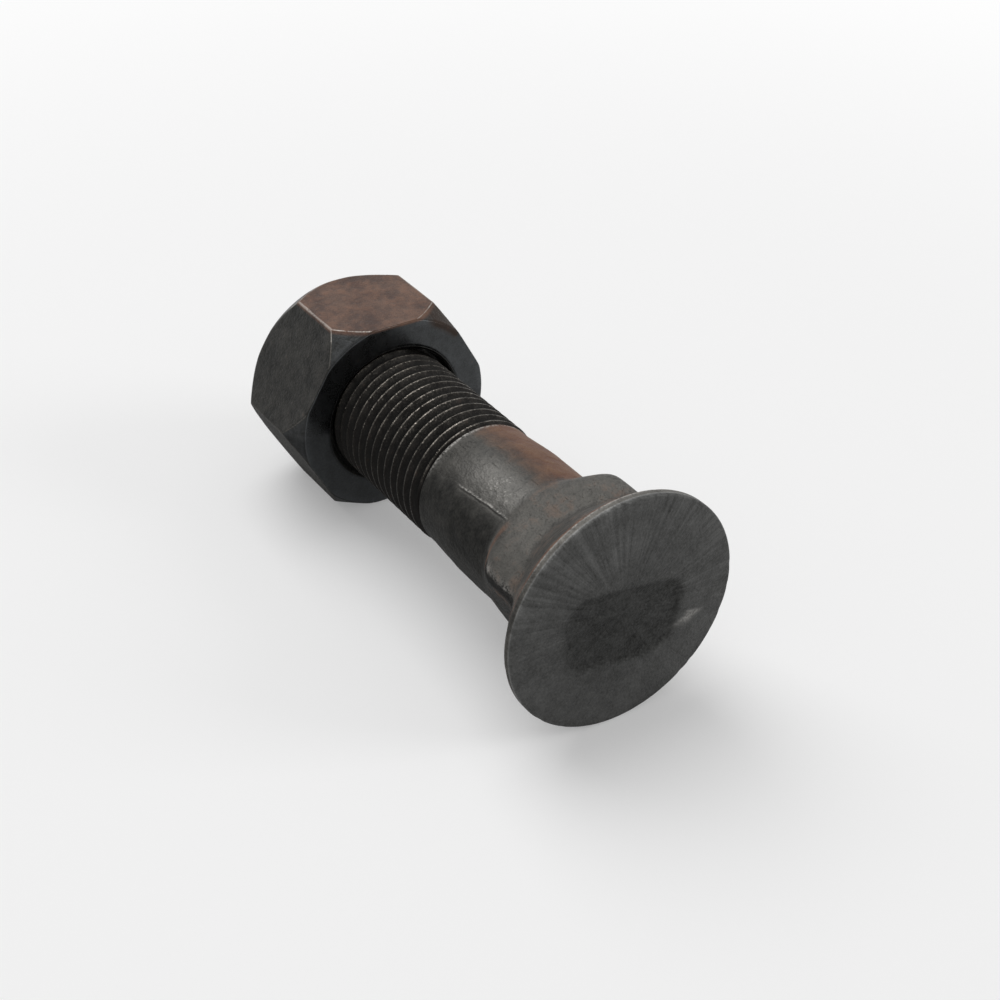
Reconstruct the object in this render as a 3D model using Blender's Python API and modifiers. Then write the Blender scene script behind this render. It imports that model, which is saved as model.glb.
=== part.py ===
"""Bucket tooth bolt: a countersunk square-neck bolt with its hex nut run on, lying on its side.

The bolt and the nut are each modelled upright along their own axis: z = 0 is the flat face of the
bolt's head, and z grows along the shank towards the threaded end. An empty then lays that axis down.
The head points to +X, the nut to -X, and the floor is z = 0.
"""

import math

import bmesh
import bpy
from mathutils import Matrix, Vector

MM = 0.001

# Head: a thin flat disc whose rim is a narrow cylinder, with a countersink under it
HEAD_DIAMETER = 27.6 * MM
RIM_HEIGHT = 1.15 * MM
FACE_EDGE_ROUND = 0.25 * MM
COUNTERSINK_HALF_ANGLE = math.radians(40)

# Square neck, forged a little off the bolt's axis
NECK_ACROSS_FLATS = 16.9 * MM
NECK_CORNER_RADIUS = 1.1 * MM
NECK_TURN = math.radians(-26)
NECK_OFFSET = 0.2 * MM
NECK_OFFSET_DIRECTION = math.radians(50)
NECK_END = 13.5 * MM
NECK_TAPER_HALF_ANGLE = math.radians(37)

# Plain shank, as forged, thinning towards the thread
SHANK_DIAMETER = 16.25 * MM
RELIEF_DIAMETER = 15.5 * MM
SHANK_TAPER_START = 21.0 * MM
RELIEF_PLACE = 25.9 * MM

# Thread: 5/8 inch, fine series of 18 turns to the inch, right-handed
THREAD_DIAMETER = 15.875 * MM
THREAD_PITCH = 1.4111111 * MM
THREAD_START = 27.2 * MM
RUN_OUT_LENGTH = 0.9 * MM
BOLT_LENGTH = 62.0 * MM
END_CHAMFER = 1.3 * MM

# Hex nut with a deep chamfer on both faces
NUT_ACROSS_FLATS = 23.5 * MM
NUT_THICKNESS = 13.5 * MM
NUT_FACE_PLACE = 45.3 * MM
NUT_CHAMFER_DEPTH = 2.9 * MM
NUT_SEAT_DIAMETER = 24.1 * MM
NUT_BACK_DIAMETER = 23.3 * MM
NUT_COUNTERSINK_DIAMETER = 17.6 * MM
RUNNING_CLEARANCE = 0.3 * MM

ROUND_STEPS = 96
THREAD_STEPS = 40
HEX_STEPS = 6

TOOL_MARGIN = 1.0 * MM
WELD_DISTANCE = 0.001 * MM
SHARP_EDGE = math.radians(28)

# A 60 degree thread's depth and crest come from its pitch
THREAD_HALF_ANGLE = math.radians(30)
THREAD_DEPTH = 0.6134 * THREAD_PITCH
CREST_WIDTH = THREAD_PITCH / 8

HEAD_RADIUS = HEAD_DIAMETER / 2
THREAD_RADIUS = THREAD_DIAMETER / 2
NUT_APOTHEM = NUT_ACROSS_FLATS / 2
NUT_CORNER_RADIUS = NUT_APOTHEM / math.cos(math.pi / HEX_STEPS)
NUT_BACK_PLACE = NUT_FACE_PLACE + NUT_THICKNESS


def clear_scene():
    for obj in list(bpy.data.objects):
        bpy.data.objects.remove(obj)


def new_collection(name):
    collection = bpy.data.collections.new(name)
    bpy.context.scene.collection.children.link(collection)
    return collection


def add_object(name, mesh, collection):
    obj = bpy.data.objects.new(name, mesh)
    collection.objects.link(obj)
    return obj


def hide_tool(obj):
    """Shows a cutter as wire only, so that it is never taken for a piece."""
    obj.hide_render = True
    obj.display_type = "WIRE"
    return obj


def profile_mesh(name, points):
    """An outline of (radius, z) points in the XZ plane, ready for a Screw modifier."""
    mesh = bpy.data.meshes.new(name)
    edges = [(i, i + 1) for i in range(len(points) - 1)]
    mesh.from_pydata([(radius, 0, z) for radius, z in points], edges, [])
    return mesh


def add_turned(name, points, steps, collection):
    """A turned solid: the outline runs from the axis, down the outside, back to the axis."""
    obj = add_object(name, profile_mesh(name, points), collection)
    screw = obj.modifiers.new("turn", "SCREW")
    screw.steps = steps
    screw.render_steps = steps
    screw.use_merge_vertices = True
    screw.merge_threshold = WELD_DISTANCE
    return obj


def apply_modifiers(obj):
    """Gives the object its evaluated mesh in place of its modifiers."""
    graph = bpy.context.evaluated_depsgraph_get()
    mesh = bpy.data.meshes.new_from_object(obj.evaluated_get(graph))
    obj.modifiers.clear()
    obj.data = mesh
    return mesh


def combine(obj, other, operation):
    """Joins, cuts or trims an object with another by an exact Boolean."""
    boolean = obj.modifiers.new(other.name, "BOOLEAN")
    boolean.operation = operation
    boolean.solver = "EXACT"
    boolean.object = other


def steel(name, colour, roughness):
    material = bpy.data.materials.new(name)
    material.use_nodes = True
    shader = material.node_tree.nodes["Principled BSDF"]
    shader.inputs["Base Color"].default_value = (*colour, 1)
    shader.inputs["Metallic"].default_value = 1.0
    shader.inputs["Roughness"].default_value = roughness
    return material


def finish_piece(obj, material):
    """Applies what is left, shades the round stretches smooth and gives the piece its steel."""
    mesh = apply_modifiers(obj)
    mesh.shade_smooth()
    mesh.set_sharp_from_angle(angle=SHARP_EDGE)
    mesh.materials.clear()
    mesh.materials.append(material)


def head_outline():
    """The head's face, its rim and the countersink, down to where the neck hides it."""
    inner_radius = SHANK_DIAMETER / 2 - TOOL_MARGIN
    depth = (HEAD_RADIUS - inner_radius) / math.tan(COUNTERSINK_HALF_ANGLE)
    return [
        (0, RIM_HEIGHT + depth),
        (inner_radius, RIM_HEIGHT + depth),
        (HEAD_RADIUS, RIM_HEIGHT),
        (HEAD_RADIUS, FACE_EDGE_ROUND),
        (HEAD_RADIUS - FACE_EDGE_ROUND, 0),
        (0, 0),
    ]


def shank_outline():
    """The plain shank, from inside the head to the thin end where the thread starts."""
    shank_radius = SHANK_DIAMETER / 2
    end_radius = RELIEF_DIAMETER / 2
    core_radius = THREAD_RADIUS - THREAD_DEPTH
    root = RIM_HEIGHT + (HEAD_RADIUS - shank_radius) / math.tan(COUNTERSINK_HALF_ANGLE) / 2
    return [
        (0, THREAD_START + end_radius - core_radius),
        (core_radius - TOOL_MARGIN, THREAD_START + end_radius - core_radius),
        (core_radius - TOOL_MARGIN, THREAD_START),
        (end_radius, THREAD_START),
        (end_radius, RELIEF_PLACE),
        (shank_radius, SHANK_TAPER_START),
        (shank_radius, root),
        (0, root),
    ]


def add_neck(tools):
    """A square block with rounded corners, tapered off towards the shank as the dies leave it."""
    bm = bmesh.new()
    bmesh.ops.create_cube(bm, size=1)
    start = RIM_HEIGHT + NECK_CORNER_RADIUS
    length = NECK_END - start
    bmesh.ops.scale(bm, vec=(NECK_ACROSS_FLATS, NECK_ACROSS_FLATS, length), verts=bm.verts)
    bmesh.ops.translate(bm, vec=(0, 0, start + length / 2), verts=bm.verts)
    corners = [e for e in bm.edges if abs(e.verts[0].co.z - e.verts[1].co.z) > length / 2]
    bmesh.ops.bevel(
        bm, geom=corners, offset=NECK_CORNER_RADIUS, segments=4, profile=0.5, affect="EDGES"
    )
    mesh = bpy.data.meshes.new("neck_block")
    bm.to_mesh(mesh)
    bm.free()
    neck = add_object("neck_block", mesh, tools)
    neck.rotation_euler.z = NECK_TURN
    neck.location = Matrix.Rotation(NECK_OFFSET_DIRECTION, 4, "Z") @ Vector((NECK_OFFSET, 0, 0))

    end_radius = SHANK_DIAMETER / 2
    wide_radius = NECK_ACROSS_FLATS
    taper_depth = (wide_radius - end_radius) / math.tan(NECK_TAPER_HALF_ANGLE)
    taper = add_turned(
        "neck_taper",
        [
            (0, NECK_END),
            (end_radius, NECK_END),
            (wide_radius, NECK_END - taper_depth),
            (wide_radius, -TOOL_MARGIN),
            (0, -TOOL_MARGIN),
        ],
        ROUND_STEPS,
        tools,
    )
    combine(neck, hide_tool(taper), "INTERSECT")
    return hide_tool(neck)


def add_helix_rod(name, collection):
    """A rod with one endless 60-degree thread: a single tooth swept up the helix and welded."""
    crest = THREAD_RADIUS
    core = THREAD_RADIUS - THREAD_DEPTH
    flank = THREAD_DEPTH * math.tan(THREAD_HALF_ANGLE)
    start = THREAD_START - THREAD_PITCH
    tooth = [
        (core, start + THREAD_PITCH),
        (core, start + CREST_WIDTH + 2 * flank),
        (crest, start + CREST_WIDTH + flank),
        (crest, start + flank),
        (core, start),
    ]
    rod = add_object(name, profile_mesh(name, tooth), collection)
    screw = rod.modifiers.new("helix", "SCREW")
    screw.steps = THREAD_STEPS
    screw.render_steps = THREAD_STEPS
    screw.screw_offset = THREAD_PITCH
    screw.iterations = math.ceil((BOLT_LENGTH - start) / THREAD_PITCH) + 1
    mesh = apply_modifiers(rod)

    bm = bmesh.new()
    bm.from_mesh(mesh)
    bmesh.ops.remove_doubles(bm, verts=bm.verts, dist=WELD_DISTANCE)
    middle = (start + BOLT_LENGTH) / 2
    for at_end in (False, True):
        rim = [e for e in bm.edges if e.is_boundary and (e.verts[0].co.z > middle) == at_end]
        cap = bmesh.ops.extrude_edge_only(bm, edges=rim)
        tips = [v for v in cap["geom"] if isinstance(v, bmesh.types.BMVert)]
        height = sum(v.co.z for v in tips) / len(tips)
        bmesh.ops.pointmerge(bm, verts=tips, merge_co=(0, 0, height))
    bmesh.ops.recalc_face_normals(bm, faces=bm.faces)
    bm.to_mesh(mesh)
    bm.free()
    return rod


def thread_envelope():
    """What trims the endless thread: a chamfer at the bolt's end and a run-out by the shank."""
    core = THREAD_RADIUS - THREAD_DEPTH
    wide = THREAD_RADIUS + TOOL_MARGIN
    run_out = RUN_OUT_LENGTH * (wide - core) / THREAD_DEPTH
    return [
        (0, BOLT_LENGTH),
        (THREAD_RADIUS - END_CHAMFER, BOLT_LENGTH),
        (wide, BOLT_LENGTH - END_CHAMFER - TOOL_MARGIN),
        (wide, THREAD_START + run_out),
        (core, THREAD_START),
        (0, THREAD_START),
    ]


def add_bolt(parts, tools):
    head = hide_tool(add_turned("head_disc", head_outline(), ROUND_STEPS, tools))
    neck = add_neck(tools)
    envelope = hide_tool(add_turned("thread_envelope", thread_envelope(), ROUND_STEPS, tools))
    shank = hide_tool(add_turned("shank", shank_outline(), THREAD_STEPS, tools))
    bolt = add_helix_rod("bolt", parts)
    combine(bolt, envelope, "INTERSECT")
    combine(bolt, shank, "UNION")
    combine(bolt, neck, "UNION")
    combine(bolt, head, "UNION")
    finish_piece(bolt, steel("bolt_steel", (0.075, 0.07, 0.066), 0.45))
    return bolt


def add_nut(parts, tools):
    """A hexagonal bar end, trimmed by a double cone and bored clear of the bolt's thread."""
    bm = bmesh.new()
    bmesh.ops.create_cone(
        bm,
        cap_ends=True,
        segments=HEX_STEPS,
        radius1=NUT_CORNER_RADIUS,
        radius2=NUT_CORNER_RADIUS,
        depth=NUT_THICKNESS,
    )
    bmesh.ops.translate(bm, vec=(0, 0, NUT_THICKNESS / 2), verts=bm.verts)
    mesh = bpy.data.meshes.new("nut")
    bm.to_mesh(mesh)
    bm.free()
    nut = add_object("nut", mesh, parts)

    seat = NUT_SEAT_DIAMETER / 2
    back = NUT_BACK_DIAMETER / 2
    wide = NUT_CORNER_RADIUS + TOOL_MARGIN
    seat_depth = NUT_CHAMFER_DEPTH * (wide - seat) / (NUT_CORNER_RADIUS - seat)
    back_depth = NUT_CHAMFER_DEPTH * (wide - back) / (NUT_CORNER_RADIUS - back)
    chamfers = add_turned(
        "nut_chamfers",
        [
            (0, NUT_THICKNESS),
            (back, NUT_THICKNESS),
            (wide, NUT_THICKNESS - back_depth),
            (wide, seat_depth),
            (seat, 0),
            (0, 0),
        ],
        ROUND_STEPS,
        tools,
    )
    bore = THREAD_RADIUS + RUNNING_CLEARANCE
    mouth = NUT_COUNTERSINK_DIAMETER / 2
    mouth_depth = mouth - bore
    drill = add_turned(
        "nut_drill",
        [
            (0, NUT_THICKNESS + TOOL_MARGIN),
            (mouth + TOOL_MARGIN, NUT_THICKNESS + TOOL_MARGIN),
            (bore, NUT_THICKNESS - mouth_depth),
            (bore, mouth_depth),
            (mouth + TOOL_MARGIN, -TOOL_MARGIN),
            (0, -TOOL_MARGIN),
        ],
        ROUND_STEPS,
        tools,
    )
    combine(nut, hide_tool(chamfers), "INTERSECT")
    combine(nut, hide_tool(drill), "DIFFERENCE")
    finish_piece(nut, steel("nut_steel", (0.06, 0.052, 0.045), 0.5))
    nut.location.z = NUT_FACE_PLACE
    return nut


def add_resting_axis(parts):
    """The bolt's axis as it lies: the head's rim and the nut's lower flat both touch the floor."""
    span = NUT_BACK_PLACE - RIM_HEIGHT
    tilt = math.atan((HEAD_RADIUS - NUT_APOTHEM) / span)
    axis = add_object("resting_axis", None, parts)
    axis.rotation_euler.y = -(math.pi / 2 + tilt)
    face_edge = (HEAD_RADIUS - FACE_EDGE_ROUND) * math.sin(tilt)
    end_edge = BOLT_LENGTH * math.cos(tilt) + (THREAD_RADIUS - END_CHAMFER) * math.sin(tilt)
    axis.location.x = (end_edge - face_edge) / 2
    axis.location.z = HEAD_RADIUS * math.cos(tilt) + RIM_HEIGHT * math.sin(tilt)
    return axis


clear_scene()
parts = new_collection("bucket_tooth_bolt")
tools = new_collection("cutters")
axis = add_resting_axis(parts)
for piece in (add_bolt(parts, tools), add_nut(parts, tools)):
    piece.parent = axis
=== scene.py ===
# %% [markdown]
# # Bucket tooth bolt: the look
#
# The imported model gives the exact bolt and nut. This lesson dresses them: both get a finer skin with
# rounded, knocked edges, and steel that is dark where the forging scale is left, bare where hands and
# plates have rubbed it, and brown where damp has got at it.

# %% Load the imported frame
import math

import bpy
import numpy as np
from mathutils import Euler, Matrix, Vector, noise


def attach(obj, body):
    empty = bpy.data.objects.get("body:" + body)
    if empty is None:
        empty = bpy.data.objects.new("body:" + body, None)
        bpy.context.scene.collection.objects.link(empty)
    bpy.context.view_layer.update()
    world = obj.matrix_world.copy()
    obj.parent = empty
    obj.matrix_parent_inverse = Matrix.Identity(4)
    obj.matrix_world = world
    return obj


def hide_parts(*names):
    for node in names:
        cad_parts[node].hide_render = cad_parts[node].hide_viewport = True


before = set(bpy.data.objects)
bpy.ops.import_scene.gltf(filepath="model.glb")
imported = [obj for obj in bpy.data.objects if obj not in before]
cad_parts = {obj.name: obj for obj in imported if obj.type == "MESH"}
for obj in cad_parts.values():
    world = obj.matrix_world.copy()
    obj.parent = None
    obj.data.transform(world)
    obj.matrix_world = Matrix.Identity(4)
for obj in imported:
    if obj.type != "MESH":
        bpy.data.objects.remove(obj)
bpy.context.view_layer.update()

# %% [markdown]
# ## Where the bolt lies
#
# The bolt lies on its side, on the head's rim and on the far edge of one flat of the nut, so its axis
# leans a little. Everything below is drawn in the bolt's own millimetres: z runs from the head's flat
# face along the shank, and x points up. One matrix then lays each finished piece down on the floor.
# Drawing in the bolt's own axes keeps every radius a plain number.

# %% The bolt's own axes
HEAD_RADIUS = 13.8
RIM_HEIGHT = 1.15
NUT_APOTHEM = 11.75
NUT_NEAR = 45.3
NUT_FAR = 58.8
BOLT_END = 62.0
END_CHAMFER = 1.3
THREAD_RADIUS = 15.875 / 2
FACE_EDGE = 0.25

lean = math.atan((HEAD_RADIUS - NUT_APOTHEM) / (NUT_FAR - RIM_HEIGHT))
face_edge_reach = (HEAD_RADIUS - FACE_EDGE) * math.sin(lean)
end_edge_reach = BOLT_END * math.cos(lean) + (THREAD_RADIUS - END_CHAMFER) * math.sin(lean)
head_place = Vector((
    (end_edge_reach - face_edge_reach) / 2,
    0,
    HEAD_RADIUS * math.cos(lean) + RIM_HEIGHT * math.sin(lean),
))
laid_down = Matrix.Translation(head_place) @ Matrix.Rotation(-(math.pi / 2 + lean), 4, "Y")
print("axis leans", round(math.degrees(lean), 3), "degrees")

# %% [markdown]
# ## Skins made of rings
#
# Every part of this fastener is round about one axis, or nearly so: even the square neck and the
# hexagon have one radius for each angle. So a skin is a stack of rings, with the radius worked out for
# each point. A Boolean would give the same form with hard edges; rings give soft ones, because two
# forms can be blended where they meet, as a forging die or years of knocks blend them.

# %% Blending two forms
def smooth_min(a, b, width):
    """The smaller of two numbers, with the corner between them rounded over the width."""
    share = np.clip(0.5 + 0.5 * (b - a) / width, 0, 1)
    return b + (a - b) * share - width * share * (1 - share)


def smooth_max(a, b, width):
    return -smooth_min(-a, -b, width)


def ease(value, low, high):
    """Rises from 0 at low to 1 at high, with soft ends."""
    share = np.clip((value - low) / (high - low), 0, 1)
    return share * share * (3 - 2 * share)


def lumps(points, size, seed):
    """Smooth noise from about -1 to 1 at each point, with lumps of this size."""
    shift = Vector((seed * 17.3, seed * 5.1, seed * 11.7))
    flat = points.reshape(-1, 3) / size
    return np.array([noise.noise(Vector(p) + shift) for p in flat]).reshape(points.shape[:-1])


print("corner of two equal walls is cut by", float(1 - smooth_min(1.0, 1.0, 0.4)))

# %% [markdown]
# ## From rings to a mesh
#
# The points are laid down and turned into metres as the mesh is made, so each piece stands in the world
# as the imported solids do. Each point also keeps its place in the bolt's own millimetres. The materials
# read that place, so their grain follows the steel when the nut moves. Masks for wear are kept on
# the points too: there they follow the form exactly, and the shader only has to break them up.

# %% Lay a mesh down
def lay_down(name, points, faces, masks):
    """Makes a piece from points in the bolt's own millimetres, which it keeps as an attribute."""
    points = np.asarray(points, float)
    turned = points @ np.array(laid_down.to_3x3()).T + np.array(laid_down.translation)
    mesh = bpy.data.meshes.new(name)
    mesh.from_pydata((turned / 1000).tolist(), [], faces)
    mesh.shade_smooth()
    kept = mesh.attributes.new("place", "FLOAT_VECTOR", "POINT")
    kept.data.foreach_set("vector", points.astype(np.float32).ravel())
    for mask, values in masks.items():
        layer = mesh.attributes.new(mask, "FLOAT", "POINT")
        filled = np.zeros(len(points), np.float32)
        filled[:values.size] = values.ravel()
        layer.data.foreach_set("value", filled)
    piece = bpy.data.objects.new(name, mesh)
    bpy.context.scene.collection.objects.link(piece)
    print(name, "has", len(faces), "faces")
    return piece


# %% [markdown]
# Quads join each ring to the next. A skin that has ends gets a point at each end, and one that comes
# back to its start, as round the nut, joins its last ring to its first.

# %% Build a ringed skin
def ringed_skin(name, rings, masks, ends=None):
    count, around = rings.shape[:2]
    index = np.arange(count * around).reshape(count, around)
    if ends is None:
        index = np.vstack([index, index[:1]])
    near, far = index[:-1], index[1:]
    quads = np.stack([near, np.roll(near, -1, 1), np.roll(far, -1, 1), far], -1).reshape(-1, 4)
    points = rings.reshape(-1, 3)
    faces = quads.tolist()
    if ends is not None:
        first, last = index[0], index[-1]
        points = np.vstack([points, ends])
        start, stop = len(points) - 2, len(points) - 1
        faces += [[start, int(b), int(a)] for a, b in zip(first, np.roll(first, -1))]
        faces += [[stop, int(a), int(b)] for a, b in zip(last, np.roll(last, -1))]
    return lay_down(name, points, faces, masks)


def angles(step, fine_step, fine_at, fine_reach):
    """Angles round the axis, closer together near some of them, in radians."""
    every = [np.arange(-180, 180, step)]
    every += [np.arange(at - fine_reach, at + fine_reach, fine_step) for at in fine_at]
    wrapped = (np.concatenate(every) + 180) % 360 - 180
    return np.radians(np.unique(np.round(wrapped, 3)))


def place(radius, turn, along):
    """Points in millimetres from radius, angle and distance along the axis."""
    radius, turn, along = np.broadcast_arrays(radius, turn, along)
    return np.stack([radius * np.cos(turn), radius * np.sin(turn), along], -1)


# %% [markdown]
# ## The forging: head, neck and shank
#
# The blank was forged hot in dies. Its head is a disc over an 80 degree cone, its neck a square that
# stops it turning, and the shank thins where the thread will be rolled. The square is nearly centred,
# and its end was drawn off at 37 degrees. Blending cone, square, taper and shank with a small radius
# gives the soft inner corners that a die leaves.

# %% The forging's radius at each angle and height
NECK_HALF = 8.45
NECK_TURN = math.radians(-26)
NECK_SHIFT = 0.2
NECK_SHIFT_TURN = math.radians(50)
NECK_CORNER = 1.9
NECK_END = 13.5
NECK_TAPER = math.tan(math.radians(37))
COUNTERSINK = math.tan(math.radians(40))
SHANK_RADIUS = 8.125
SHANK_TAPER_START = 21.0
RELIEF_RADIUS = 7.75
RELIEF_PLACE = 25.9
THREAD_START = 27.2
FORGING_END = THREAD_START + 0.8
OUT_OF_REACH = 40.0


def neck_radius(turn, along):
    """A rounded square, a little off the axis, trimmed by the taper at its end."""
    radius = np.full(np.shape(turn), OUT_OF_REACH)
    for side in range(4):
        facing = NECK_TURN + side * math.pi / 2
        reach = NECK_HALF + NECK_SHIFT * math.cos(NECK_SHIFT_TURN - facing)
        leaning = np.cos(turn - facing)
        wall = np.where(leaning > 0.2, reach / np.maximum(leaning, 0.2), OUT_OF_REACH)
        radius = smooth_min(radius, wall, NECK_CORNER)
    taper = SHANK_RADIUS + (NECK_END - along) * NECK_TAPER
    return smooth_min(radius, np.maximum(taper, 0), 1.2)


def forging_radius(turn, along):
    """Head, neck and shank, each blended into the next; the shank sinks away under the thread."""
    cone = HEAD_RADIUS + (RIM_HEIGHT - along) * COUNTERSINK
    head = smooth_min(HEAD_RADIUS + 0 * cone, cone, 0.16)
    heights = [0, SHANK_TAPER_START, RELIEF_PLACE, THREAD_START, THREAD_START + 1]
    radii = [SHANK_RADIUS, SHANK_RADIUS, RELIEF_RADIUS, RELIEF_RADIUS, RELIEF_RADIUS - 1]
    shank = np.interp(along, heights, radii)
    return smooth_max(smooth_max(head, neck_radius(turn, along), 0.7), shank, 0.6)


corner = math.degrees(NECK_TURN) + 45
neck_corners = (corner, corner + 90, corner + 180, corner + 270)
print("neck corner radius", float(neck_radius(np.array([math.radians(corner)]), 6.0)[0]))

# %% [markdown]
# ## The flat face
#
# The face is a stack of rings that grow from its centre. A shallow field with rounded corners is sunk
# into it. It could be cut with a Boolean, but the distance to its outline gives the depth at each point
# and a soft wall at once. A face that was struck by a die is never quite flat, so a little slow noise
# goes in as well.

# %% The face's depth
PANEL_CENTRE = (-1.6, 0.0)
PANEL_HALF_HEIGHT = 4.6
PANEL_HALF_WIDTH = 7.25
PANEL_WIDENING = 0.12
PANEL_CORNER = 3.0
PANEL_TURN = math.radians(-7)
PANEL_DEPTH = 0.22


def panel_distance(x, y):
    """How far a point on the face is outside the sunk panel, in millimetres."""
    dx, dy = x - PANEL_CENTRE[0], y - PANEL_CENTRE[1]
    across = dx * math.cos(PANEL_TURN) - dy * math.sin(PANEL_TURN)
    beside = dx * math.sin(PANEL_TURN) + dy * math.cos(PANEL_TURN)
    out = np.stack([
        np.abs(across) - PANEL_HALF_HEIGHT + PANEL_CORNER,
        np.abs(beside) - PANEL_HALF_WIDTH - PANEL_WIDENING * across + PANEL_CORNER,
    ])
    return np.hypot(*np.maximum(out, 0)) + np.minimum(out.max(0), 0) - PANEL_CORNER


print("face centre is", float(-panel_distance(np.array(0.0), np.array(0.0))), "mm inside the panel")

# %% [markdown]
# All rings of the forging share one set of angles. They lie closer together near the neck's corners and
# near the parting line, where the form changes fast.

# %% The angles and the face's rings
PARTING_MIDDLE = -47.0
around = np.union1d(angles(1.0, 0.3, (PARTING_MIDDLE,), 5.0), angles(60, 0.5, neck_corners, 7.0))
turn = around[None, :]

face_end = HEAD_RADIUS - FACE_EDGE - 0.25
face_radii = np.concatenate([[0.35, 0.8], np.linspace(1.3, face_end, 46)])[:, None]
face = place(face_radii, turn, 0.0)
outside_panel = panel_distance(face[..., 0], face[..., 1])
sunk = PANEL_DEPTH * (1 - ease(outside_panel + 0.3 * lumps(face, 1.5, 9), -0.75, 0.25))
face[..., 2] = sunk + 0.03 * lumps(face, 3.5, 1) + 0.03
print("face has", len(face), "rings of", len(around), "points and sinks", round(float(sunk.max()), 3), "mm")

# %% [markdown]
# A small rounding leads from the face to the rim. It takes the knocks first: noise that counts only
# above a level cuts shallow nicks into it.

# %% The face's rounded edge
bend = np.linspace(0.05, 1.0, 5)[:, None] * math.pi / 2
nicks = 0.07 * np.maximum(lumps(place(HEAD_RADIUS, turn, 0.0), 1.1, 2) - 0.15, 0)
edge = place(
    HEAD_RADIUS - FACE_EDGE * (1 - np.sin(bend)) - nicks,
    turn,
    FACE_EDGE * (1 - np.cos(bend)) + nicks,
)
print("deepest nick", round(float(nicks.max()), 3), "mm")

# %% [markdown]
# From the rim on, the rings climb the countersink, the neck and the shank. Where the two halves of the
# dies met, a low ridge is left along the blank: the parting line. It wanders a little, so its angle is
# given at a few places along the shank.

# %% The side's rings
PARTING_PLACES = [13.8, 15.5, 16.4, 18.0, 19.3, 21.2]
PARTING_DEGREES = [-44.4, -45.6, -45.2, -46.8, -47.2, -49.0]
heights = np.concatenate([
    np.linspace(0.4, 0.95, 4),
    np.linspace(1.02, 1.36, 6),
    np.linspace(1.55, 14.6, 66),
    np.linspace(14.9, 26.6, 40),
    np.linspace(26.8, FORGING_END, 9),
])[:, None]
radius = forging_radius(turn, heights)
side = place(radius, turn, heights)
rough = 0.05 * lumps(side, 2.6, 3) + 0.02 * lumps(side, 0.8, 4)
rough *= ease(heights, 1.5, 4.0) * (1 - ease(heights, 24.0, 26.5))
line_at = np.radians(np.interp(heights, PARTING_PLACES, PARTING_DEGREES))
beside_line = (turn - line_at) * SHANK_RADIUS
line_shown = ease(heights, 12.6, 13.6) * (1 - ease(heights, 20.5, 23.0))
ridge = 0.1 * np.exp(-(beside_line / 0.1) ** 2) - 0.09 * np.exp(-((beside_line + 0.22) / 0.12) ** 2)
back_nicks = 0.06 * np.exp(-((heights - RIM_HEIGHT) / 0.2) ** 2) * np.maximum(lumps(side, 0.9, 5), 0)
side = place(radius + rough + ridge * line_shown - back_nicks, turn, heights)
print("side has", len(side), "rings")

# %% [markdown]
# Wear shows first on the rim's back edge, the neck's corners, the end of the shank and the parting line.
# Each gets a mask on the points, and so does the sunk field, whose mask paints shade into it.

# %% Build the forging
CORNER_REACH = 11.4
rings = np.concatenate([face, edge, side])
depth = rings[..., 2]
reach = np.hypot(rings[..., 0], rings[..., 1])
on_head_side = ease(reach, HEAD_RADIUS - 0.5, HEAD_RADIUS - 0.2)
beside_corner = ((turn - NECK_TURN) % (math.pi / 2) - math.pi / 4) * CORNER_REACH
neck_edge = np.exp(-(beside_corner / 0.5) ** 2) * ease(depth, 3.4, 5.0) * (1 - ease(depth, 9.6, 11.0))
neck_edge = neck_edge * (0.4 + 0.6 * ease(lumps(rings, 1.6, 10), -0.2, 0.3))
upper_corner = rings[..., 0] > 8
parting = np.zeros(depth.shape)
parting[-len(side):] = np.exp(-((beside_line - 0.05) / 0.11) ** 2) * line_shown
# Painted shade: the sunk field and a ring along its outline are masked to be painted darker.
panel_shade = np.zeros(depth.shape)
panel_shade[:len(face)] = 1 - ease(outside_panel, -0.5, 0.3) + 0.28 * np.exp(-(outside_panel / 0.5) ** 2)
forging_masks = {
    "rim_wear": np.exp(-((depth - RIM_HEIGHT) / 0.13) ** 2) * on_head_side,
    "neck_wear": neck_edge * np.where(upper_corner, 0.3, 1.0),
    "shank_wear": np.exp(-((depth - THREAD_START + 0.12) / 0.2) ** 2),
    "parting": parting,
    "panel": panel_shade,
}
ends = [[0, 0, float(rings[0, :, 2].mean())], [0, 0, FORGING_END]]
forging = ringed_skin("bolt_forging", rings, forging_masks, ends)

# %% [markdown]
# ## The rolled thread
#
# A fine thread is one groove, 18 turns to the inch and 0.61 of its pitch deep, wound up the shank. It
# could be swept by the Screw modifier, but then nothing could change on the way. Here one tooth's
# outline is carried round the helix point by point, so that the crests follow the helix exactly, the
# first turn rises out of the shank, the last is cut by the end chamfer, and a crest can be nicked where
# it was knocked.

# %% Carry an outline round the helix
PITCH = 25.4 / 18
THREAD_DEPTH = 0.6134 * PITCH
CORE_RADIUS = THREAD_RADIUS - THREAD_DEPTH
CREST_PHASE = THREAD_START - PITCH + 0.588
STEPS_PER_TURN = 96
RUN_OUT = 0.42


def helix(outline, first_turn, last_turn, phase):
    """Rings of (radius, angle, height), one for each step, for an outline of (offset, radius)."""
    steps = int(round((last_turn - first_turn) * STEPS_PER_TURN)) + 1
    turns = np.linspace(first_turn, last_turn, steps)[:, None]
    offsets, radii = np.array(outline).T
    heights = phase + PITCH * turns + offsets[None, :]
    return np.broadcast_to(radii[None, :], heights.shape).copy(), 2 * math.pi * turns, heights


print("thread is", round(THREAD_DEPTH, 3), "mm deep, with a pitch of", round(PITCH, 3), "mm")

# %% [markdown]
# The rings of a helix don't close on themselves. Each outline is joined to the next step's, and its last
# point to the first point of the outline one turn on, so that the skin has no gap.

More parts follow.
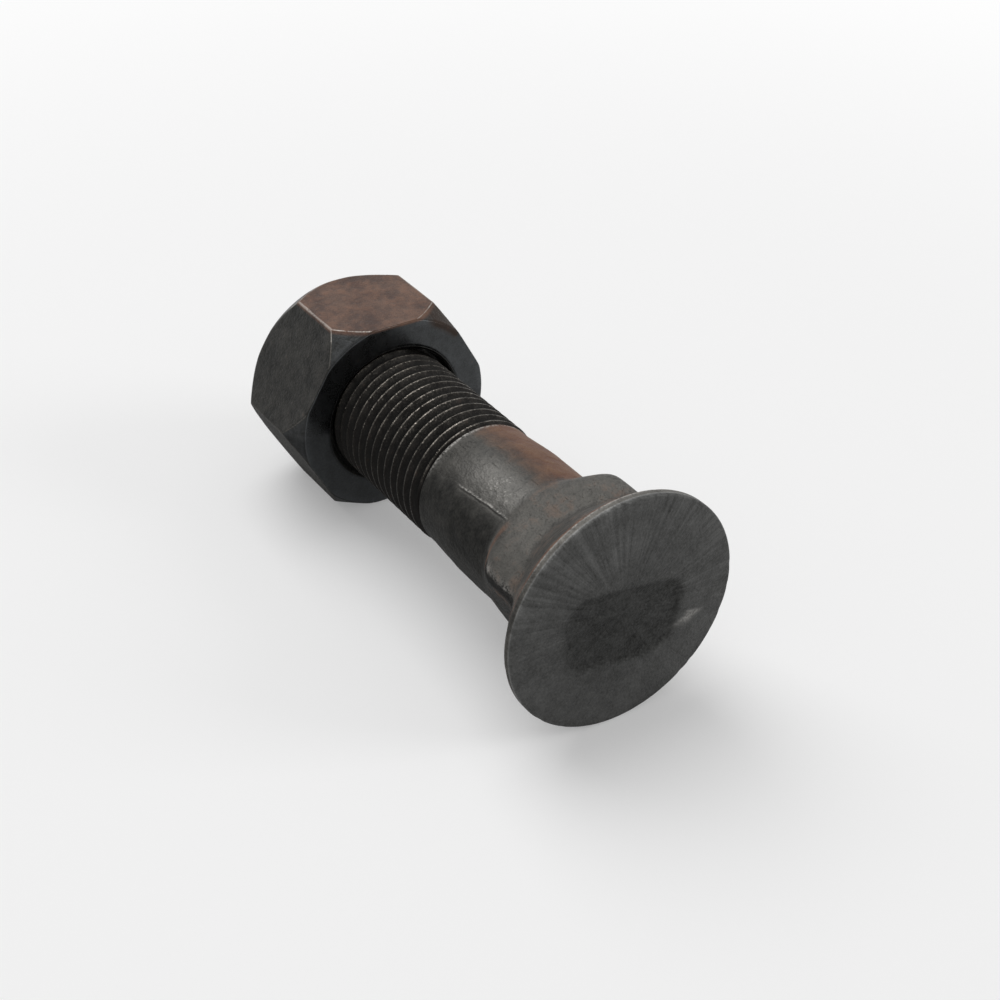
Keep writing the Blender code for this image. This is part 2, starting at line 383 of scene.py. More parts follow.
# %% Build a wound skin
def wound_skin(name, rings, masks):
    """A skin whose outline winds on: each step's last point is joined to the next turn's first."""
    steps, across = rings.shape[:2]
    index = np.arange(steps * across).reshape(steps, across)
    quads = [np.stack([index[:-1, :-1], index[1:, :-1], index[1:, 1:], index[:-1, 1:]], -1)]
    wraps = index[:-STEPS_PER_TURN]
    after = index[STEPS_PER_TURN:]
    quads.append(np.stack([wraps[:-1, -1], wraps[1:, -1], after[1:, 0], after[:-1, 0]], -1))
    faces = np.concatenate([q.reshape(-1, 4) for q in quads]).tolist()
    return lay_down(name, rings.reshape(-1, 3), faces, masks)


# %% [markdown]
# The outline is one tooth with a rounded root and a narrow crest. At the run-out, under the chamfer and
# past the bolt's end the radius is held down. Past the end the rings shrink to the axis and lie flat:
# they are the end face.

# %% The bolt's thread as rings
crest, core = THREAD_RADIUS, CORE_RADIUS
end_radius = crest - END_CHAMFER
tooth = [
    (-0.70, core),
    (-0.62, core + 0.012),
    (-0.55, core + 0.075),
    (-0.13, crest - 0.07),
    (-0.085, crest - 0.008),
    (0.085, crest - 0.008),
    (0.13, crest - 0.07),
    (0.55, core + 0.075),
    (0.62, core + 0.012),
]
last = (BOLT_END - CREST_PHASE) / PITCH + 2.6
radii, turn, heights = helix(tooth, -0.2, last, CREST_PHASE)
knocks = lumps(place(radii, turn, heights), 0.8, 6)
on_crest = ease(radii, crest - 0.12, crest - 0.02)
radii -= on_crest * (0.10 * np.maximum(knocks - 0.32, 0) + 0.012 * knocks)
run_out = core + np.maximum(heights - THREAD_START, 0) * THREAD_DEPTH / RUN_OUT
radii = np.minimum(radii, run_out)
chamfer = crest - np.maximum(heights - (BOLT_END - END_CHAMFER), 0)
past_end = np.maximum(heights - BOLT_END, 0)
closing = end_radius * np.clip(1 - past_end / PITCH, 0.001, 1)
radii = np.where(past_end > 0, np.minimum(radii, closing), smooth_min(radii, chamfer, 0.08))
print("thread has", len(radii), "steps of", len(tooth), "points")

# %% [markdown]
# Three masks follow the form: bright crests and end rim, dark roots, and the plain end.

# %% Build the bolt's thread
bright = ease(radii, crest - 0.09, crest - 0.02)
on_end = ease(heights, BOLT_END - 0.5, BOLT_END - 0.1)
end_rim = np.exp(-((heights - BOLT_END) / 0.1) ** 2) * ease(radii, end_radius - 0.34, end_radius - 0.14)
roots = (1 - ease(radii, core + 0.1, crest - 0.15)) * (1 - on_end)
thread_masks = {"wear": np.maximum(bright, end_rim), "root": roots, "end": on_end}
rings = place(radii, turn, np.minimum(heights, BOLT_END))
rings[..., 2] -= 0.03 * (heights > BOLT_END) * (1 + lumps(rings, 1.5, 8))
bolt_thread = wound_skin("bolt_thread", rings, thread_masks)

# %% [markdown]
# ## The nut
#
# The nut is a piece of hexagonal bar, turned to a cone at both ends so that its corners don't catch.
# The hexagon's radius and the two cones are blended with a very small radius: those rounded edges are
# what catches the light along each flat.

# %% The nut's radius at each angle and height
SEAT_RADIUS = 12.05
BACK_RADIUS = 11.65
CORNER_RADIUS = NUT_APOTHEM / math.cos(math.pi / 6)
CHAMFER_DEPTH = 2.9
MOUTH_RADIUS = 8.8
BORE_RADIUS = THREAD_RADIUS + 0.24
NEAR_SLOPE = (CORNER_RADIUS - SEAT_RADIUS) / CHAMFER_DEPTH
FAR_SLOPE = (CORNER_RADIUS - BACK_RADIUS) / CHAMFER_DEPTH


def hexagon_radius(turn):
    inside = (turn + math.pi / 6) % (math.pi / 3) - math.pi / 6
    return NUT_APOTHEM / np.cos(inside)


def cone_radii(along):
    """The radii of the near and far cones there. The place may also be a field of the shader."""
    near_cone = SEAT_RADIUS + (along - NUT_NEAR) * NEAR_SLOPE
    return near_cone, BACK_RADIUS + (NUT_FAR - along) * FAR_SLOPE


def nut_radius(turn, along):
    near_cone, far_cone = cone_radii(along)
    hexagon = smooth_min(hexagon_radius(turn), CORNER_RADIUS - 0.05, 0.06)
    return smooth_min(smooth_min(hexagon, near_cone, 0.1), far_cone, 0.12)


print("nut corners reach", round(CORNER_RADIUS, 2), "mm from the axis")

# %% [markdown]
# The rings go once round the nut's section: out over the bearing face, round its lip, along the flats,
# in over the far face and back through the bore.

# %% Build the nut
EDGE = 0.16
BORE_CHAMFER = MOUTH_RADIUS - BORE_RADIUS
turn = angles(1.5, 0.3, range(-150, 180, 60), 4.5)[None, :]
steps = np.linspace(0, 1, 12)[:, None]
rounding = np.linspace(0.15, 1, 5)[:, None] * math.pi / 2
near_lip = nut_radius(turn, NUT_NEAR) - EDGE
far_lip = nut_radius(turn, NUT_FAR) - EDGE
heights = np.concatenate([
    np.linspace(EDGE + 0.05, 3.3, 34),
    np.linspace(3.6, 9.9, 9),
    np.linspace(10.2, NUT_FAR - NUT_NEAR - EDGE - 0.05, 34),
])[:, None] + NUT_NEAR
walls = place(nut_radius(turn, heights), turn, heights)
walls = place(nut_radius(turn, heights) + 0.02 * lumps(walls, 2.5, 7), turn, heights)
in_bore = [NUT_FAR - BORE_CHAMFER, NUT_FAR - 2, NUT_NEAR + 6, NUT_NEAR + BORE_CHAMFER]
rings = np.concatenate([
    place(MOUTH_RADIUS + steps * (near_lip - MOUTH_RADIUS), turn, NUT_NEAR),
    place(near_lip + EDGE * np.sin(rounding), turn, NUT_NEAR + EDGE * (1 - np.cos(rounding))),
    walls,
    place(far_lip + EDGE * np.cos(rounding - rounding[0]), turn, NUT_FAR - EDGE * (1 - np.sin(rounding))),
    place(far_lip + steps * (MOUTH_RADIUS - far_lip), turn, NUT_FAR),
    place(BORE_RADIUS, turn, np.array(in_bore)[:, None]),
])
along = rings[..., 2]
reach = np.hypot(rings[..., 0], rings[..., 1])
near_cone, far_cone = cone_radii(along)
hexagon = hexagon_radius(turn)
on_cone = ease(hexagon - near_cone, 0.0, 0.12) + ease(hexagon - far_cone, 0.0, 0.12)
nut_body = ringed_skin("nut_body", rings, {"cone": on_cone * ease(reach, 11.2, 11.5)})

# %% [markdown]
# ## The nut's own thread
#
# Inside, the nut has the same thread turned inside out: a ridge that fills the bolt's groove with a
# little room to spare. It could be left to the bore's material, but it shows where the nut is run off
# the bolt, and there only real turns catch the light. It fades into the countersink at both ends.

# %% Build the nut's thread
RIDGE_RADIUS = 7.33
ridge = [
    (-0.66, BORE_RADIUS + 0.02),
    (-0.2, RIDGE_RADIUS),
    (0.2, RIDGE_RADIUS),
    (0.66, BORE_RADIUS + 0.02),
    (0, BORE_RADIUS + 0.3),
]
groove_phase = CREST_PHASE + PITCH / 2
first = (NUT_NEAR + 0.2 - groove_phase) / PITCH
last = (NUT_FAR - 0.2 - groove_phase) / PITCH
radii, turn, heights = helix(ridge, first, last, groove_phase)
mouth_near = MOUTH_RADIUS - (heights - NUT_NEAR)
mouth_far = MOUTH_RADIUS - (NUT_FAR - heights)
radii = np.maximum(radii, np.minimum(np.maximum(mouth_near, mouth_far), BORE_RADIUS + 0.3) + 0.01)
rings = place(radii, turn, heights)[:, ::-1]
ends = [rings[0].mean(0).tolist(), rings[-1].mean(0).tolist()]
nut_thread = ringed_skin("nut_thread", rings, {"cone": np.zeros(rings.shape[:2])}, ends)

# %% [markdown]
# ## Tied to the imported bodies
#
# Each skin rides on its body, so it moves when the joint moves, and stands in for the plain solid.

# %% Tie the pieces to the frame
for piece, body, steel in (
    (forging, "bolt", "bolt_steel"),
    (bolt_thread, "bolt", "bolt_steel"),
    (nut_body, "nut", "nut_steel"),
    (nut_thread, "nut", "nut_steel"),
):
    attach(piece, body)
    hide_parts(body)

# %% [markdown]
# ## Writing shader maths as sums
#
# A material is a sum of noises and masks. Written as nodes and links it is hard to read, so a small
# class wraps a socket, and its operators add the Math nodes. A ramp turns any field into a soft step:
# most masks below are ramps of a distance or an angle, shaken by a little noise.

# %% Sockets with arithmetic
class Field:
    """A socket whose value varies over the surface, with arithmetic that adds Math nodes."""

    def __init__(self, recipe, socket):
        self.recipe = recipe
        self.socket = socket

    def math(self, operation, first, second=None):
        inputs = {0: first} if second is None else {0: first, 1: second}
        return self.recipe.node("ShaderNodeMath", {"operation": operation}, inputs)

    def __add__(self, other):
        return self.math("ADD", self, other)

    def __sub__(self, other):
        return self.math("SUBTRACT", self, other)

    def __rsub__(self, other):
        return self.math("SUBTRACT", other, self)

    def __mul__(self, other):
        return self.math("MULTIPLY", self, other)

    def __abs__(self):
        return self.math("ABSOLUTE", self)

    __radd__ = __add__
    __rmul__ = __mul__

    def at_most(self, other):
        return self.math("MINIMUM", self, other)

    def at_least(self, other):
        return self.math("MAXIMUM", self, other)

    def arctan2(self, other):
        return self.math("ARCTAN2", self, other)

    def ramp(self, low, high):
        """0 below low, 1 above high, eased between; low may be the larger."""
        settings = {"interpolation_type": "SMOOTHSTEP"}
        inputs = {"Value": self, "From Min": low, "From Max": high}
        return self.recipe.node("ShaderNodeMapRange", settings, inputs)


# %% [markdown]
# Every other node comes from one method. It sets what kind of work the node does first, because that
# decides which of its sockets are in use, and then fills those sockets with numbers or links.

# %% A recipe that is built by calls
class Recipe:
    """The nodes of one material or world."""

    def __init__(self, owner):
        self.owner = owner
        owner.use_nodes = True
        self.tree = owner.node_tree

    def node(self, kind, settings, inputs, output=None):
        node = self.tree.nodes.new(kind)
        for name, value in settings.items():
            setattr(node, name, value)
        for name, value in inputs.items():
            if isinstance(name, int):
                socket = node.inputs[name]
            else:
                socket = next(s for s in node.inputs if s.name == name and s.enabled)
            self.feed(socket, value)
        return Field(self, next(s for s in node.outputs if s.enabled and output in (None, s.name)))

    def feed(self, socket, value):
        if isinstance(value, Field):
            self.tree.links.new(value.socket, socket)
        elif socket.type == "RGBA":
            socket.default_value = (*value, 1)
        else:
            socket.default_value = value


# %% [markdown]
# All the steels read the place that each point keeps, so that their grain is as fine as on the real
# bolt, whichever piece it is on. Noise that is stretched along the bolt gives drawn marks.

# %% What all the steels share
class Steel(Recipe):
    """A steel's recipe, which reads each point's place on the bolt in millimetres."""

    def __init__(self, name):
        super().__init__(bpy.data.materials.new(name))
        self.shader = self.tree.nodes["Principled BSDF"]
        self.place = self.node("ShaderNodeAttribute", {"attribute_name": "place"}, {}, "Vector")
        self.flat = self.stretched(1, 1, 0)
        settings = {"operation": "LENGTH"}
        self.from_axis = self.node("ShaderNodeVectorMath", settings, {0: self.flat}, "Value")

    def axes(self):
        """The place's three coordinates, in millimetres."""
        split = self.node("ShaderNodeSeparateXYZ", {}, {"Vector": self.place}).socket.node
        return [Field(self, socket) for socket in split.outputs]

    def mask(self, name):
        return self.node("ShaderNodeAttribute", {"attribute_name": name}, {}, "Fac")

    def stretched(self, x, y, z):
        """The place, drawn out along each axis whose number is small."""
        inputs = {0: self.place, 1: (x, y, z)}
        return self.node("ShaderNodeVectorMath", {"operation": "MULTIPLY"}, inputs, "Vector")

    def noise(self, size, detail=3.0, roughness=0.55, at=None):
        """Noise from 0 to 1, about 0.5, with lumps of this size in millimetres."""
        inputs = {"Scale": 1 / size, "Detail": detail, "Roughness": roughness, "Vector": at or self.place}
        return self.node("ShaderNodeTexNoise", {}, inputs, "Fac")

    def mix(self, share, first, second):
        """A colour between two, each a colour or a field of colour."""
        inputs = {"Factor": share, "A": first, "B": second}
        return self.node("ShaderNodeMix", {"data_type": "RGBA"}, inputs, "Result")

    def bump(self, height, millimetres):
        """Relief this deep. Blender measures it in the world's metres."""
        inputs = {"Height": height, "Distance": millimetres / 1000}
        self.feed(self.shader.inputs["Normal"], self.node("ShaderNodeBump", {}, inputs))

    def cover(self, pieces, colour, roughness, metallic):
        """Sets the surface and puts it on the pieces."""
        self.feed(self.shader.inputs["Base Color"], colour)
        self.feed(self.shader.inputs["Roughness"], roughness)
        self.feed(self.shader.inputs["Metallic"], metallic)
        for piece in pieces:
            piece.data.materials.append(self.owner)
        print(self.owner.name, "has", len(self.tree.nodes), "nodes")


# %% [markdown]
# ## Forged steel
#
# Hot steel grows a skin of dark scale. It is nearly black in the hollows, a soft grey where it was
# rubbed thin, and bright where it is gone. Each part of the forging could have a material of its own,
# but the finishes run into one another. So one recipe serves the whole forging, and masks made from the
# place on the bolt say where each finish begins.

# %% Colours and noises of the forging
SCALE_BLACK = (0.014, 0.014, 0.013)
SCALE_GREY = (0.180, 0.180, 0.176)
RUBBED_GREY = (0.215, 0.205, 0.188)
BARE_STEEL = (0.48, 0.465, 0.44)
RUST = (0.108, 0.038, 0.015)
RUST_PALE = (0.152, 0.074, 0.038)
PAINTED_SHADE_BLACK = (0.004, 0.004, 0.0035)

steel = Steel("forged_steel")
x, y, z = steel.axes()
upward = y.arctan2(x)
around_axis = steel.node("ShaderNodeVectorMath", {"operation": "NORMALIZE"}, {0: steel.flat}, "Vector")
spokes = steel.noise(0.05, 2.0, 0.6, around_axis)
broad_spokes = steel.noise(0.18, 2.0, 0.5, around_axis)
broad = steel.noise(5.0, 3.0, 0.55)
patchy = steel.noise(1.5, 4.0, 0.62)
grain = steel.noise(0.3, 3.0, 0.65)
drawn = steel.noise(0.7, 3.0, 0.6, steel.stretched(1, 1, 0.3))
broad_swing = broad - 0.5
patch_swing = patchy - 0.5
grain_swing = grain - 0.5
mottle = 0.35 * grain_swing + 0.5 * patch_swing

# %% [markdown]
# The place along the axis tells the face, the rim, the neck and the shank apart. The angle round it tells
# the upper side from the lower: the upper side is painted lighter, partly as rubbing and partly as painted
# light, and the lower side darker as painted shade. It is 0 at the top and grows towards the far side, so
# the neck's lower front corner has a negative angle.

# %% Where each finish is
LOWER_CORNER = NECK_TURN - math.pi / 4
PAINTED_SHEEN_TURN = -0.52
on_face = z.ramp(0.62, 0.42)
on_rim = z.ramp(0.25, 0.45) * z.ramp(RIM_HEIGHT + 0.15, RIM_HEIGHT - 0.05)
past_rim = z.ramp(RIM_HEIGHT + 0.05, RIM_HEIGHT + 0.35)
on_neck = past_rim * (z + 0.6 * patchy).ramp(NECK_END + 0.4, NECK_END - 0.3)
shank = (1 - on_neck) * z.ramp(RIM_HEIGHT + 0.15, RIM_HEIGHT + 0.45)
above_corner = upward - LOWER_CORNER
far_side_up = upward.ramp(2.4, 1.6)
# Painted shade and light: below this angle and on the far side the steel is painted darker, above it
# lighter, partly as real rubbing.
lit_and_rubbed_side = (upward + 0.25 * patch_swing).ramp(-1.2, -0.72) * far_side_up
# Painted shade: the neck's flat below its lower corner is painted dark, the flat above it lighter.
lit_and_rubbed_neck = (above_corner + 0.08 * grain_swing).ramp(-0.041, 0.039) * far_side_up
from_painted_sheen = abs(upward - PAINTED_SHEEN_TURN)
print("neck's lower corner is at", round(math.degrees(LOWER_CORNER), 1), "degrees")

# %% [markdown]
# The scale's tone is a sum for each part: a middle value, what the place adds to it, and noise. Steel
# flowed outwards in the die and left fine marks on the face, so that noise is stretched along the radius.

# %% The scale's tone
streaks = ((spokes - 0.5) * 0.75 + (broad_spokes - 0.5) * 0.35) * broad.ramp(0.3, 0.6)
face_tone = (
    0.285
    + 0.065 * steel.from_axis.ramp(5, 11)
    + 0.36 * broad_swing
    + 0.5 * grain_swing
    + 0.42 * patch_swing
    + streaks * steel.from_axis.ramp(3, 9) * x.ramp(-12, 8)
    # painted shade in the sunk field and along its outline
    - (0.10 + 0.12 * broad.ramp(0.35, 0.65)) * steel.mask("panel")
)
# The rim, neck and shank tones are painted lighter on their upper side and darker below: painted shade,
# partly real rubbing.
rim_tone = 0.22 + 0.18 * lit_and_rubbed_side + 1.5 * mottle
neck_tone = 0.29 * lit_and_rubbed_neck + mottle - 0.06 * (z + patchy).ramp(6.5, 4.5)
shank_tone = 0.035 + 0.13 * lit_and_rubbed_side + 0.16 * broad_swing + 0.65 * mottle
tone = face_tone * on_face + rim_tone * on_rim + neck_tone * on_neck + shank_tone * shank
palest = steel.mix(on_face, RUBBED_GREY, SCALE_GREY)
colour = steel.mix(tone.at_least(0.0).at_most(1.0), SCALE_BLACK, palest)

# %% [markdown]
# Rust starts where water stands: on the shank's upper side past the neck, in the angle under the rim,
# along the neck's end and in thin patches on the neck. Noise shakes the place or makes the mask itself,
# so that the rust's outline is ragged.

# %% Rust
past_neck = (z + 2.2 * patch_swing + 1.2 * grain_swing).ramp(NECK_END - 0.8, NECK_END + 0.9)
before_thread = z.ramp(THREAD_START + 0.6, THREAD_START - 0.4)
on_top = (upward + 0.5 * patch_swing).ramp(-0.25, 0.3)
thinned = (upward.ramp(1.9, 1.2) + (0.6 * patchy + 0.4 * broad).ramp(0.48, 0.6)).at_most(1.0)
rust_band = 0.8 * past_neck * on_top * before_thread * thinned
rust_skin = 0.24 * on_neck * (0.5 * patchy + 0.3 * broad + 0.2 * grain).ramp(0.49, 0.62)
under_rim = 0.85 * abs(z - (RIM_HEIGHT + 0.35)).ramp(0.42, 0.1) * upward.ramp(-1.5, -0.7)
neck_end_line = 0.5 * abs(z + 0.9 * patchy - (NECK_END - 0.9)).ramp(0.8, 0.1)
neck_end_line = neck_end_line * upward.ramp(-0.72, -0.95) * upward.ramp(-1.5, -1.3)
rust = (rust_band + rust_skin + under_rim + neck_end_line).at_most(0.9)
colour = steel.mix(rust, colour, steel.mix(patchy.ramp(0.35, 0.7), RUST, RUST_PALE))

# %% [markdown]
# Just under the neck's lower corner the flat turns away from the light; that shade is painted there in the
# blackest colour.

# %% Painted shade under the neck's corner
shade_under_corner = (above_corner + 0.07 * patch_swing).ramp(-0.011, -0.051) * above_corner.ramp(-0.261, -0.141)
shade_under_corner = shade_under_corner * on_neck * z.ramp(12.0, 10.5) * z.ramp(3.0, 4.2)
colour = steel.mix(0.85 * shade_under_corner, colour, PAINTED_SHADE_BLACK)

# %% [markdown]
# Bare metal goes over scale and rust, because what rubs it bare takes both off: worn edges, a line of
# flecks on the shank, one rubbed spot on the face. A band of bare colour is also painted along the shank at
# the angle where the lamp's highlight falls: a painted sheen, partly worn steel. The rim's and shank's worn
# edges are painted brighter on the upper side, a painted highlight. The masks on the points say where the
# edges are, and noise knocks gaps in them.

# %% Bare metal
FLECKS_AT = 16.6
SPOT_AT = (-3.7, 8.6)
# Painted sheen: a band of bare colour along the shank at the angle where the lamp's highlight falls.
painted_sheen = shank * from_painted_sheen.ramp(0.5, 0.05) * z.ramp(26.5, 19.0)
near_flecks = (6 * from_painted_sheen + 0.6 * abs(z - FLECKS_AT)).ramp(2.0, 0.2)
flecks = near_flecks * (0.5 * patchy + 0.5 * grain).ramp(0.54, 0.6)
spot_x, spot_y = x - SPOT_AT[0], y - SPOT_AT[1]
from_spot = abs(spot_x - 0.25 * spot_y) + 0.45 * abs(spot_y) + 2.2 * grain_swing + 1.5 * (spokes - 0.5)
bare_spot = 0.42 * from_spot.ramp(1.3, 0.2) * (0.35 + 0.65 * grain.ramp(0.42, 0.58)) * on_face
knocked = (0.4 * patchy + 0.6 * grain).ramp(0.42, 0.56)
edges = (
    steel.mask("rim_wear") * lit_and_rubbed_side * (0.15 + 0.6 * knocked)
    + 0.7 * steel.mask("neck_wear") * knocked
    + 0.5 * steel.mask("parting") * knocked
    + 0.9 * steel.mask("shank_wear") * lit_and_rubbed_side * knocked
)
bare = (0.6 * edges + 0.09 * painted_sheen + 0.4 * flecks + bare_spot).at_most(1.0)
colour = steel.mix(bare, colour, BARE_STEEL)

# %% [markdown]
# Fine dark scratches run along the bolt, and small pits dot the neck. Both darken the colour and sink
# the relief a little.

# %% Scratches, pits and the finished surface
scratches = steel.noise(0.3, 1.0, 0.5, steel.stretched(1, 1, 0.05)).ramp(0.68, 0.74)
scratches = scratches * patchy.ramp(0.45, 0.6) * (1 - on_face)
neck_scratches = steel.noise(0.35, 2.0, 0.6, steel.stretched(1, 1, 0.12)).ramp(0.64, 0.74)
scratches = scratches.at_least(0.7 * neck_scratches * broad.ramp(0.45, 0.55) * on_neck)
marks = scratches + grain.ramp(0.6, 0.7) * on_neck
colour = steel.mix(0.4 * marks.at_most(1.0), colour, SCALE_BLACK)
roughness = (
    0.72
    - 0.16 * lit_and_rubbed_side.at_least(on_face)
    + 0.25 * patch_swing
    + 0.1 * rust
    - 0.12 * bare
    - 0.14 * painted_sheen
    + 0.2 * shade_under_corner
)
relief = 0.25 * grain + 0.15 * drawn * (1 - on_face) + 0.3 * spokes * on_face + patchy - 0.15 * marks
steel.bump(relief, 0.3)
steel.cover((forging,), colour, roughness, 0.92 - 0.6 * rust)

# %% [markdown]
# ## Thread steel
#
# Rolled threads wear bright on their crests. The root mask darkens the groove as painted shade, and the
# crest mask brightens a thin line of worn crest that noise breaks into short glints, a painted highlight
# that is brightest on the upper side and near the sheen's angle.

# %% The thread's steel
FLANK_BLACK = (0.011, 0.010, 0.009)
ROOT_SHADE_BLACK = (0.003, 0.003, 0.0025)
FLANK_BROWN = (0.06, 0.03, 0.02)
END_DARK = (0.03, 0.029, 0.027)
END_PALE = (0.085, 0.07, 0.06)
CREST_BRIGHT = (0.44, 0.40, 0.35)
SHEEN_TURN = -0.45

steel = Steel("thread_steel")
x, y = steel.axes()[:2]
upward = y.arctan2(x)
patchy = steel.noise(1.3, 4.0, 0.6)
grain = steel.noise(0.22, 3.0, 0.65)
groove = steel.mask("root")
# Painted highlight: glints and sparkles on the crests are brighter on the upper side.
lit_and_rubbed_side = 0.3 + 0.7 * upward.ramp(-1.5, -0.7) * upward.ramp(2.4, 1.6)
glint = steel.mask("wear") * (0.5 * patchy + 0.5 * grain).ramp(0.36, 0.62) * lit_and_rubbed_side
sparkle = steel.mask("wear") * grain.ramp(0.6, 0.66) * lit_and_rubbed_side
# Painted highlight: the glints are brightest near the sheen's angle.
lit_side = 0.55 + 0.6 * abs(upward - SHEEN_TURN).ramp(0.9, 0.1)
# Painted shade: the groove is painted near black.
colour = steel.mix(groove, FLANK_BLACK, ROOT_SHADE_BLACK)
colour = steel.mix(0.3 * patchy.ramp(0.6, 0.75) * (1 - groove), colour, FLANK_BROWN)
colour = steel.mix(steel.mask("end"), colour, steel.mix(patchy.ramp(0.3, 0.7), END_DARK, END_PALE))
shine = (0.33 * glint + 0.7 * sparkle) * lit_side
colour = steel.mix(shine.at_most(1.0), colour, CREST_BRIGHT)
steel.bump(0.3 * grain + patchy, 0.15)
steel.cover((bolt_thread,), colour, 0.66 + 0.1 * groove - 0.28 * glint, 0.9 - 0.4 * groove)

# %% [markdown]
# ## The nut's steel
#
# The nut carries the same scale, smoother because its flats come from drawn bar. The flat that lay
# upwards has taken a thin purplish brown rust; the others stay a cool grey. The bearing face keeps the
# thinnest scale, because it was turned and then rubbed on what it held.

# %% The nut's scale
NUT_GREY = (0.165, 0.175, 0.185)
FILM_DARK = (0.044, 0.016, 0.008)
FILM_PALE = (0.124, 0.064, 0.040)
CORNER_BROWN = (0.030, 0.018, 0.012)
EDGE_BRIGHT = (0.5, 0.47, 0.43)

steel = Steel("nut_steel_scale")
x, y, z = steel.axes()
broad = steel.noise(4.0, 3.0, 0.55)
patchy = steel.noise(1.4, 4.0, 0.62)
grain = steel.noise(0.25, 3.0, 0.65)
drawn = steel.noise(0.6, 3.0, 0.6, steel.stretched(1, 1, 0.3))
bearing = abs(z - NUT_NEAR).ramp(0.12, 0.03)
cone = steel.mask("cone")
tone = (
    0.05
    + 0.12 * (broad - 0.5)
    + 0.24 * (grain - 0.5)
    + 0.3 * (patchy - 0.5)
    + 0.18 * bearing
    + 0.07 * cone
)
palest = steel.mix(cone.at_least(bearing), RUBBED_GREY, NUT_GREY)
colour = steel.mix(tone.at_least(0.0).at_most(1.0), SCALE_BLACK, palest)

# %% [markdown]
# The rust is a thin film. Its edge follows the upper flat, so the height above the axis is all that its
# mask needs. A darker film has crept onto the far upper corner's cone.

# %% The film of rust
film = x.ramp(NUT_APOTHEM - 0.45, NUT_APOTHEM - 0.13) * (0.7 + 0.3 * patchy.ramp(0.35, 0.7))
corner_film = 0.8 * cone * (y + patchy).ramp(4.5, 6.0) * x.ramp(5, 7)
colour = steel.mix(corner_film, colour, CORNER_BROWN)
specks = 0.3 * (0.5 * patchy + 0.5 * grain).ramp(0.62, 0.7)
film_tone = (0.45 * broad + 0.35 * patchy + 0.2 * grain).ramp(0.38, 0.62)
colour = steel.mix(film.at_least(specks), colour, steel.mix(film_tone, FILM_DARK, FILM_PALE))

# %% [markdown]
# The bright edges are worked out from the form: an arc lies where a flat and a cone are both close, and
# a long edge where the distance from the axis is near the corners'. The cones come from the function
# that shaped the nut, which works on fields just as well as on numbers.

# %% The nut's edges and finished surface
near_cone, far_cone = cone_radii(z)
to_cone = abs(steel.from_axis - near_cone).at_most(abs(steel.from_axis - far_cone))
slant_x = x * math.cos(math.pi / 3)
slant_y = y * math.sin(math.pi / 3)
to_flat = abs(x).at_least(abs(slant_x + slant_y)).at_least(abs(slant_x - slant_y))
to_arc = to_cone.at_most(abs(z - NUT_NEAR)).at_least(abs(to_flat - NUT_APOTHEM)) + 0.12 * (patchy - 0.5)
long_edges = 0.5 * steel.from_axis.ramp(CORNER_RADIUS - 0.11, CORNER_RADIUS - 0.05)
knocked = (0.4 * patchy + 0.6 * grain).ramp(0.38, 0.54)
edges = to_arc.ramp(0.08, 0.01).at_least(long_edges)
# Painted highlight: the edges next to the upper flat are painted much brighter than the others, over their
# real wear.
edges = edges * (0.12 + 0.65 * x.ramp(10.2, 11.0)) * (0.5 + 0.5 * knocked)
colour = steel.mix(edges, colour, EDGE_BRIGHT)
roughness = (
    0.44
    + 0.2 * (patchy - 0.5)
    + 0.14 * film
    - 0.1 * edges
    - 0.16 * bearing
    + 0.35 * x.ramp(0.4, -0.4)
)
steel.bump((0.25 * grain + 0.8 * patchy + 0.15 * drawn) * (1 - 0.9 * bearing), 0.18)
steel.cover((nut_body, nut_thread), colour, roughness, 0.92 - 0.5 * film)

# %% [markdown]
# ## The floor
#
# A plain pale floor carries the shadow. A floor alone would end in a grey horizon in low views, so it
# fades to pure white a short way from the bolt. The white is an emission that only rays from the
# camera, mirrors or glass see. It clears the background, also where the steel mirrors it, and casts no
# light of its own.

# %% The floor
FADE_START = 0.08
FADE_END = 0.3
LEAST_WHITE = 0.25
HALF = 4

floor_mesh = bpy.data.meshes.new("floor")
corners = [(-HALF, -HALF, 0), (HALF, -HALF, 0), (HALF, HALF, 0), (-HALF, HALF, 0)]
floor_mesh.from_pydata(corners, [], [(0, 1, 2, 3)])
floor = bpy.data.objects.new("floor", floor_mesh)
bpy.context.scene.collection.objects.link(floor)
floor_mesh.materials.append(bpy.data.materials.new("floor_paper"))
paper = Recipe(floor_mesh.materials[0])


def seen_or_mirrored(recipe):
    """1 for a ray that shows the background, also in metal or through glass."""
    kinds = ("Is Camera Ray", "Is Glossy Ray", "Is Transmission Ray")
    seen, mirrored, through = (recipe.node("ShaderNodeLightPath", {}, {}, kind) for kind in kinds)
    return seen.at_least(mirrored).at_least(through)


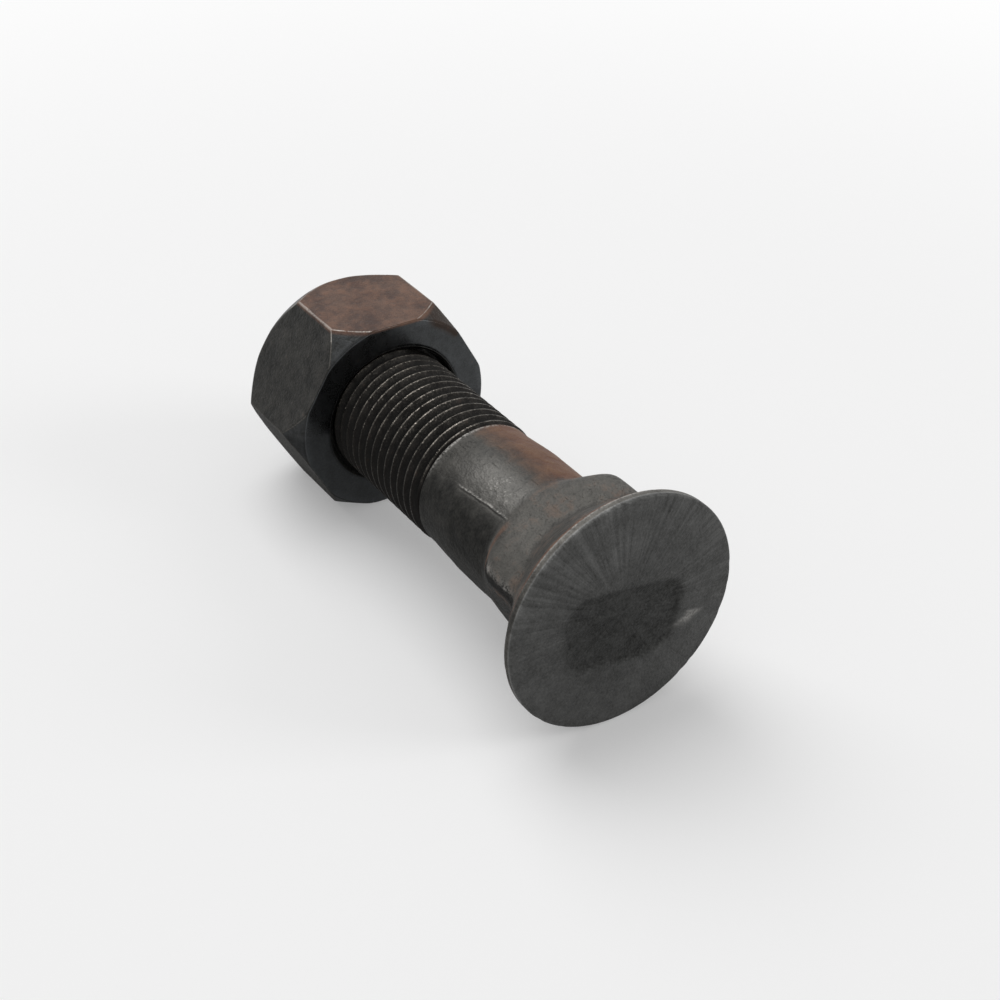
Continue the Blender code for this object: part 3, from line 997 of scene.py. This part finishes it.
lit = paper.tree.nodes["Principled BSDF"]
paper.feed(lit.inputs["Base Color"], (0.92, 0.92, 0.92))
paper.feed(lit.inputs["Roughness"], 0.9)
metres = paper.node("ShaderNodeTexCoord", {}, {}, "Object")
from_bolt = paper.node("ShaderNodeVectorMath", {"operation": "LENGTH"}, {0: metres}, "Value")
white = paper.node("ShaderNodeEmission", {}, {"Color": (1, 1, 1), "Strength": 1.0})
share = (LEAST_WHITE + from_bolt.ramp(FADE_START, FADE_END)).at_most(1.0) * seen_or_mirrored(paper)
both = paper.node("ShaderNodeMixShader", {}, {0: share, 1: Field(paper, lit.outputs[0]), 2: white})
paper.feed(paper.tree.nodes["Material Output"].inputs["Surface"], both)
print("the floor is white from", FADE_END, "metres out")

# %% [markdown]
# ## Light
#
# One broad lamp hangs high behind the bolt, as a studio's ceiling bank does. Steel shows what it
# mirrors: this puts a sheen along the shank's upper side, while the head's face mirrors only the floor
# and stays calm. A weak lamp on the right keeps the nut's near face from going black. The world is
# white for the rays that show it and dimmer for those that light the steel.

# %% The lamps and the world
AIM = Vector((0, 0, 0.012))
WORLD_LIGHT = 0.35


def soft_lamp(name, place, size, watts):
    """A square lamp that faces the middle of the bolt."""
    light = bpy.data.lights.new(name, "AREA")
    light.size = size
    light.energy = watts
    lamp = bpy.data.objects.new(name, light)
    lamp.location = place
    lamp.rotation_euler = (AIM - Vector(place)).to_track_quat("-Z", "Y").to_euler()
    bpy.context.scene.collection.objects.link(lamp)


soft_lamp("ceiling_bank", (-0.75, -0.15, 1.3), 1.4, 16.0)
soft_lamp("right_fill", (0.7, 0.9, 0.6), 0.5, 3.0)

world = bpy.data.worlds.new("studio")
bpy.context.scene.world = world
sky = Recipe(world)
background = sky.tree.nodes["Background"]
sky.feed(background.inputs["Color"], (1, 1, 1))
sky.feed(background.inputs["Strength"], WORLD_LIGHT + (1 - WORLD_LIGHT) * seen_or_mirrored(sky))

# %% [markdown]
# ## Camera
#
# The camera looks down on the head from the front, about 22 centimetres away, with a lens nearly twice
# as long as its picture is wide. So near, the head looks clearly larger than the nut behind it.

# %% The camera
CAMERA_PLACE = (0.146062, -0.097599, 0.134443)
CAMERA_DEGREES = (54.4273, -2.8308, 56.7777)

camera_data = bpy.data.cameras.new("camera")
camera_data.lens = 68.4
camera_data.clip_start = 0.01
camera = bpy.data.objects.new("camera", camera_data)
camera.location = CAMERA_PLACE
camera.rotation_euler = Euler([math.radians(v) for v in CAMERA_DEGREES])
bpy.context.scene.collection.objects.link(camera)
bpy.context.scene.camera = camera
bpy.context.scene.view_settings.view_transform = "Standard"
print("camera is", round(Vector(CAMERA_PLACE).length * 1000), "mm from the bolt's middle")
